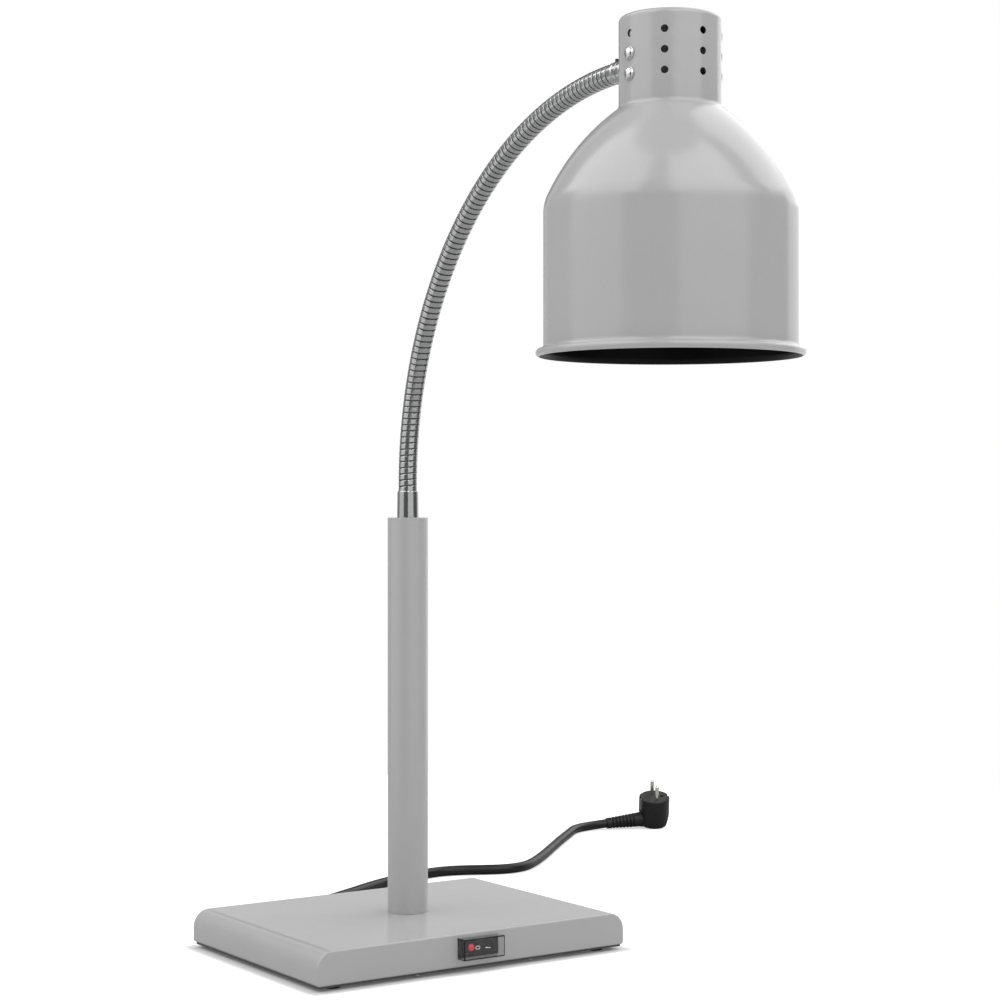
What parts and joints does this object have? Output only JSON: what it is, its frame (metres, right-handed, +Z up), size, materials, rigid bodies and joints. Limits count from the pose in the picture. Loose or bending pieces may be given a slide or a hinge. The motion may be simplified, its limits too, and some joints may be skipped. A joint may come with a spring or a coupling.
{
  "type": "food warming lamp",
  "caption": "Heat lamp for keeping food warm: weighted sheet base with switch, upright column, bendable steel neck and vented bell shade over a heat bulb.",
  "frame": {"origin": "on the table, under the middle of the box that holds the lamp without its free cord", "axes": "+Z up along the column, -Y towards the shade and the switch, +X to the right seen from the front"},
  "size_m": [0.8472, 1.0001, 0.8055],
  "materials": {
    "silver_coat": "satin",
    "shade_coat": "satin",
    "dark_coat": "satin",
    "zinc_steel": "satin",
    "neck_steel": "satin",
    "dome_chrome": "polished",
    "black_steel": "satin",
    "black_rubber": "matte",
    "black_plastic": "matte",
    "rocker_plastic": "satin",
    "red_lens": "gloss",
    "clear_plastic": "gloss",
    "white_plastic": "satin",
    "brown_sleeve": "satin",
    "brass": "satin",
    "ceramic_white": "satin",
    "ruby_glass": "gloss"
  },
  "bodies": {
    "stand": {"base_cover": "silver_coat", "bottom_plate": "dark_coat", "ballast_plate": "dark_coat", "rubber_feet": "black_rubber", "foot_screws": "zinc_steel", "foot_nuts": "zinc_steel", "cover_screws": "zinc_steel", "column_tube": "silver_coat", "column_plug": "dark_coat", "column_bolts": "zinc_steel", "column_bush": "zinc_steel", "lower_ferrule": "neck_steel", "neck_foot": "neck_steel", "switch_body": "black_plastic", "switch_tabs": "brass", "switch_splash_cover": "clear_plastic", "terminal_block": "white_plastic", "terminal_screws": "brass", "earth_stud": "brass", "earth_nut": "brass", "cord_clamp": "black_plastic", "clamp_screws": "zinc_steel", "cord_tail": "black_rubber", "cord_boot": "black_rubber", "lamp_lead": "white_plastic", "switch_leads": "brown_sleeve", "mains_cord": "black_rubber", "plug_body": "black_plastic", "plug_pins": "dome_chrome", "plug_earth": "dome_chrome", "plug_boot": "black_rubber"},
    "rocker": {"switch_rocker": "rocker_plastic", "switch_lens": "red_lens"},
    "neck_1": {"neck_1": "neck_steel"},
    "neck_2": {"neck_2": "neck_steel"},
    "neck_3": {"neck_3": "neck_steel"},
    "neck_4": {"neck_4": "neck_steel"},
    "neck_5": {"neck_5": "neck_steel"},
    "neck_6": {"neck_6": "neck_steel"},
    "neck_7": {"neck_7": "neck_steel"},
    "neck_8": {"neck_8": "neck_steel"},
    "head": {"neck_tip": "neck_steel", "upper_ferrule": "neck_steel", "ferrule_screw": "black_steel", "arm_nut": "zinc_steel", "collar": "silver_coat", "collar_screws": "dome_chrome", "collar_nuts": "zinc_steel", "holder_bracket": "zinc_steel", "holder_screws": "zinc_steel", "lamp_holder": "ceramic_white", "holder_shell": "brass", "holder_contact": "brass", "head_lead": "white_plastic", "shade": "shade_coat", "bulb_cap": "brass", "bulb_glass": "ruby_glass"}
  },
  "joints": [
    {"name": "rocker_tip", "type": "hinge", "parent": "stand", "child": "rocker", "pos_m": [0, 0.06005, 0.022], "axis": [0, 0, 1], "range_deg": [0, 12]},
    {"name": "neck_bend", "type": "hinge", "parent": "stand", "child": "neck_1", "pos_m": [0, 0.17478, 0.46715], "axis": [1, 0, 0], "range_deg": [-6, 6]},
    {"name": "neck_sway", "type": "hinge", "parent": "neck_1", "child": "neck_2", "pos_m": [0, 0.16465, 0.52458], "axis": [0, 0.9659, 0.2588], "range_deg": [-6, 6]},
    {"name": "neck_bend_25", "type": "hinge", "parent": "neck_2", "child": "neck_3", "pos_m": [0, 0.14471, 0.57937], "axis": [1, 0, 0], "range_deg": [-6, 6]},
    {"name": "neck_bend_35", "type": "hinge", "parent": "neck_3", "child": "neck_4", "pos_m": [0, 0.11556, 0.62986], "axis": [1, 0, 0], "range_deg": [-6, 6]},
    {"name": "neck_sway_45", "type": "hinge", "parent": "neck_4", "child": "neck_5", "pos_m": [0, 0.07808, 0.67453], "axis": [0, 0.7071, 0.7071], "range_deg": [-6, 6]},
    {"name": "neck_bend_55", "type": "hinge", "parent": "neck_5", "child": "neck_6", "pos_m": [0, 0.03341, 0.71201], "axis": [1, 0, 0], "range_deg": [-6, 6]},
    {"name": "neck_bend_65", "type": "hinge", "parent": "neck_6", "child": "neck_7", "pos_m": [0, -0.01708, 0.74116], "axis": [1, 0, 0], "range_deg": [-6, 6]},
    {"name": "neck_sway_75", "type": "hinge", "parent": "neck_7", "child": "neck_8", "pos_m": [0, -0.07187, 0.7611], "axis": [0, 0.2588, 0.9659], "range_deg": [-6, 6]},
    {"name": "neck_bend_85", "type": "hinge", "parent": "neck_8", "child": "head", "pos_m": [0, -0.1293, 0.77123], "axis": [1, 0, 0], "range_deg": [-6, 6]}
  ],
  "couplings": [
    {"joint": "neck_bend_25", "follows": "neck_bend", "ratio": 1},
    {"joint": "neck_bend_35", "follows": "neck_bend", "ratio": 1},
    {"joint": "neck_sway_45", "follows": "neck_sway", "ratio": 1},
    {"joint": "neck_bend_55", "follows": "neck_bend", "ratio": 1},
    {"joint": "neck_bend_65", "follows": "neck_bend", "ratio": 1},
    {"joint": "neck_sway_75", "follows": "neck_sway", "ratio": 1},
    {"joint": "neck_bend_85", "follows": "neck_bend", "ratio": 1}
  ]
}
